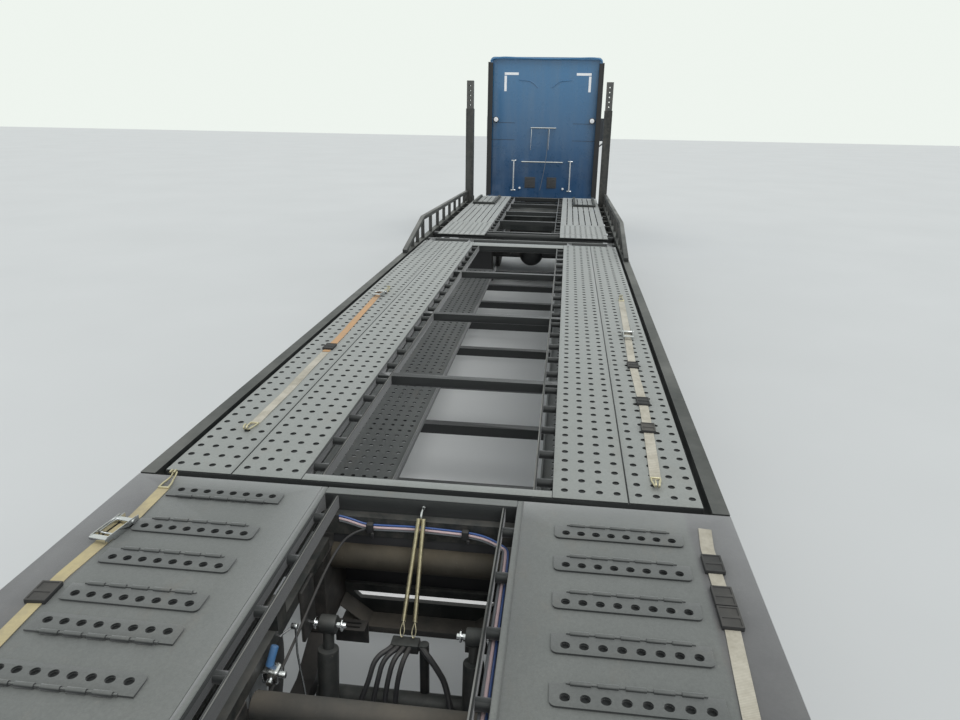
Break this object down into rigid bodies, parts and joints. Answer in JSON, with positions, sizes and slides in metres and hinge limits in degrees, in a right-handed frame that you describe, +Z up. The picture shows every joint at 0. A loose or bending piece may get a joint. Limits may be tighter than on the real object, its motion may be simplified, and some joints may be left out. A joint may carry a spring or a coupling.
{
  "type": "articulated car transporter lorry",
  "caption": "Conventional sleeper tractor with a low car-carrying semitrailer: perforated tilting decks, telescoping front posts, chock flaps and twin wheels.",
  "frame": {"origin": "on the ground under the middle of the lorry's overall length and width", "axes": "+X forward, +Y to the driver's left, +Z up"},
  "size_m": [23.15, 3.1, 3.975],
  "materials": {
    "frame_black": "satin black chassis paint",
    "trailer_black": "satin black, dusty and rubbed",
    "post_grey": "rubbed dark grey",
    "cylinder_black": "satin black",
    "rod_chrome": "polished",
    "engine_iron": "cast, painted grey",
    "tank_aluminium": "brushed",
    "blue_paint": "glossy blue",
    "bumper_grey": "moulded dark grey",
    "clear_glass": "lightly tinted",
    "dash_plastic": "grained black",
    "seat_fabric": "woven grey",
    "rubber_black": "matt black",
    "bright_chrome": "polished",
    "lamp_clear": "clear lens",
    "lamp_red": "red lens",
    "line_plastic": "coloured air line",
    "webbing": "polyester webbing",
    "tyre_rubber": "dusty tread rubber",
    "wheel_steel": "pale grey steel disc"
  },
  "bodies": {
    "tractor": {"chassis_frame": "frame_black", "fifth_wheel": "frame_black", "front_axle": "frame_black", "drive_axles": "frame_black", "engine_and_radiator": "engine_iron", "fuel_tanks": "tank_aluminium", "side_fairings": "blue_paint", "front_bumper": "bumper_grey", "cab_shell": "blue_paint", "sleeper_shell": "blue_paint", "roof_cap": "blue_paint", "cab_glass": "clear_glass", "dashboard": "dash_plastic", "seats_and_bunk": "seat_fabric", "extenders_and_mudflaps": "rubber_black", "rear_wall_fittings": "bright_chrome", "mirrors": "dash_plastic"},
    "hood_body": {"hood": "blue_paint", "grille": "bright_chrome", "headlamps": "lamp_clear"},
    "door_left_body": {"door_left": "blue_paint", "window_left": "clear_glass"},
    "door_right_body": {"door_right": "blue_paint", "window_right": "clear_glass"},
    "steer_left_body": {"knuckle_left": "frame_black"},
    "steer_right_body": {"knuckle_right": "frame_black"},
    "front_wheel_left_body": {"front_wheel_left": "wheel_steel", "front_tyre_left": "tyre_rubber"},
    "front_wheel_right_body": {"front_wheel_right": "wheel_steel", "front_tyre_right": "tyre_rubber"},
    "trailer": {"side_frames": "trailer_black", "trailer_frame": "trailer_black", "rear_deck": "trailer_black", "lower_deck": "trailer_black", "trailer_axles": "frame_black", "tail_lamps": "lamp_red", "air_lines": "line_plastic", "rear_straps": "webbing"},
    "mid_deck_body": {"mid_deck": "trailer_black", "mid_straps": "webbing"},
    "front_deck_body": {"front_deck": "trailer_black"},
    "lift_barrels_body": {"lift_barrels": "cylinder_black"},
    "lift_rods_body": {"lift_rods": "rod_chrome"},
    "post_extensions_body": {"post_extensions": "post_grey"},
    "drive_1_left_body": {"drive_1_wheels_left": "wheel_steel", "drive_1_tyres_left": "tyre_rubber"},
    "drive_1_right_body": {"drive_1_wheels_right": "wheel_steel", "drive_1_tyres_right": "tyre_rubber"},
    "drive_2_left_body": {"drive_2_wheels_left": "wheel_steel", "drive_2_tyres_left": "tyre_rubber"},
    "drive_2_right_body": {"drive_2_wheels_right": "wheel_steel", "drive_2_tyres_right": "tyre_rubber"},
    "trailer_1_left_body": {"trailer_1_wheels_left": "wheel_steel", "trailer_1_tyres_left": "tyre_rubber"},
    "trailer_1_right_body": {"trailer_1_wheels_right": "wheel_steel", "trailer_1_tyres_right": "tyre_rubber"},
    "trailer_2_left_body": {"trailer_2_wheels_left": "wheel_steel", "trailer_2_tyres_left": "tyre_rubber"},
    "trailer_2_right_body": {"trailer_2_wheels_right": "wheel_steel", "trailer_2_tyres_right": "tyre_rubber"}
  },
  "joints": [
    {"name": "trailer_turn", "type": "hinge", "parent": "tractor", "child": "trailer", "pos_m": [3.675, 0, 1.12], "axis": [0, 0, 1], "range_deg": [-90, 90]},
    {"name": "hood_tilt", "type": "hinge", "parent": "tractor", "child": "hood_body", "pos_m": [11.52, 0, 0.8], "axis": [0, 1, 0], "range_deg": [0, 80]},
    {"name": "door_left_swing", "type": "hinge", "parent": "tractor", "child": "door_left_body", "pos_m": [9.604, 1.124, 1.7], "axis": [0, 0, -1], "range_deg": [0, 70]},
    {"name": "door_right_swing", "type": "hinge", "parent": "tractor", "child": "door_right_body", "pos_m": [9.604, -1.124, 1.7], "axis": [0, 0, 1], "range_deg": [0, 70]},
    {"name": "steer_left", "type": "hinge", "parent": "tractor", "child": "steer_left_body", "pos_m": [10.275, 0.88, 0.5], "axis": [0, 0, 1], "range_deg": [-35, 35]},
    {"name": "steer_right", "type": "hinge", "parent": "tractor", "child": "steer_right_body", "pos_m": [10.275, -0.88, 0.5], "axis": [0, 0, 1], "range_deg": [-35, 35]},
    {"name": "front_wheel_left_spin", "type": "hinge", "parent": "steer_left_body", "child": "front_wheel_left_body", "pos_m": [10.275, 1.04, 0.5], "axis": [0, 1, 0], "continuous": true},
    {"name": "front_wheel_right_spin", "type": "hinge", "parent": "steer_right_body", "child": "front_wheel_right_body", "pos_m": [10.275, -1.04, 0.5], "axis": [0, 1, 0], "continuous": true},
    {"name": "drive_1_left_spin", "type": "hinge", "parent": "tractor", "child": "drive_1_left_body", "pos_m": [4.335, 0.935, 0.5], "axis": [0, 1, 0], "continuous": true},
    {"name": "drive_1_right_spin", "type": "hinge", "parent": "tractor", "child": "drive_1_right_body", "pos_m": [4.335, -0.935, 0.5], "axis": [0, 1, 0], "continuous": true},
    {"name": "drive_2_left_spin", "type": "hinge", "parent": "tractor", "child": "drive_2_left_body", "pos_m": [3.015, 0.935, 0.5], "axis": [0, 1, 0], "continuous": true},
    {"name": "drive_2_right_spin", "type": "hinge", "parent": "tractor", "child": "drive_2_right_body", "pos_m": [3.015, -0.935, 0.5], "axis": [0, 1, 0], "continuous": true},
    {"name": "trailer_1_left_spin", "type": "hinge", "parent": "trailer", "child": "trailer_1_left_body", "pos_m": [-7.555, 0.935, 0.5], "axis": [0, 1, 0], "continuous": true},
    {"name": "trailer_1_right_spin", "type": "hinge", "parent": "trailer", "child": "trailer_1_right_body", "pos_m": [-7.555, -0.935, 0.5], "axis": [0, 1, 0], "continuous": true},
    {"name": "trailer_2_left_spin", "type": "hinge", "parent": "trailer", "child": "trailer_2_left_body", "pos_m": [-8.795, 0.935, 0.5], "axis": [0, 1, 0], "continuous": true},
    {"name": "trailer_2_right_spin", "type": "hinge", "parent": "trailer", "child": "trailer_2_right_body", "pos_m": [-8.795, -0.935, 0.5], "axis": [0, 1, 0], "continuous": true},
    {"name": "mid_deck_tilt", "type": "hinge", "parent": "trailer", "child": "mid_deck_body", "pos_m": [-0.435, 0, 1.27], "axis": [0, 1, 0], "range_deg": [0, 15]},
    {"name": "front_deck_tilt", "type": "hinge", "parent": "trailer", "child": "front_deck_body", "pos_m": [0.12, 0, 1.27], "axis": [0, -1, 0], "range_deg": [0, 18]},
    {"name": "lift_barrel_swing", "type": "hinge", "parent": "trailer", "child": "lift_barrels_body", "pos_m": [-1.5, 0, 0.59], "axis": [0, 1, 0], "range_deg": [-1, 9]},
    {"name": "lift_rod_slide", "type": "slide", "parent": "lift_barrels_body", "child": "lift_rods_body", "axis": [-0.326, 0, 0.9454], "range_m": [-0.005, 0.325]},
    {"name": "post_extension_slide", "type": "slide", "parent": "trailer", "child": "post_extensions_body", "axis": [0, 0, 1], "range_m": [0, 0.45]}
  ],
  "couplings": [
    {"joint": "steer_right", "follows": "steer_left", "ratio": 1},
    {"joint": "lift_barrel_swing", "follows": "mid_deck_tilt", "ratio": 0.5145},
    {"joint": "lift_rod_slide", "follows": "mid_deck_tilt", "m_per_rad": 1.208}
  ]
}
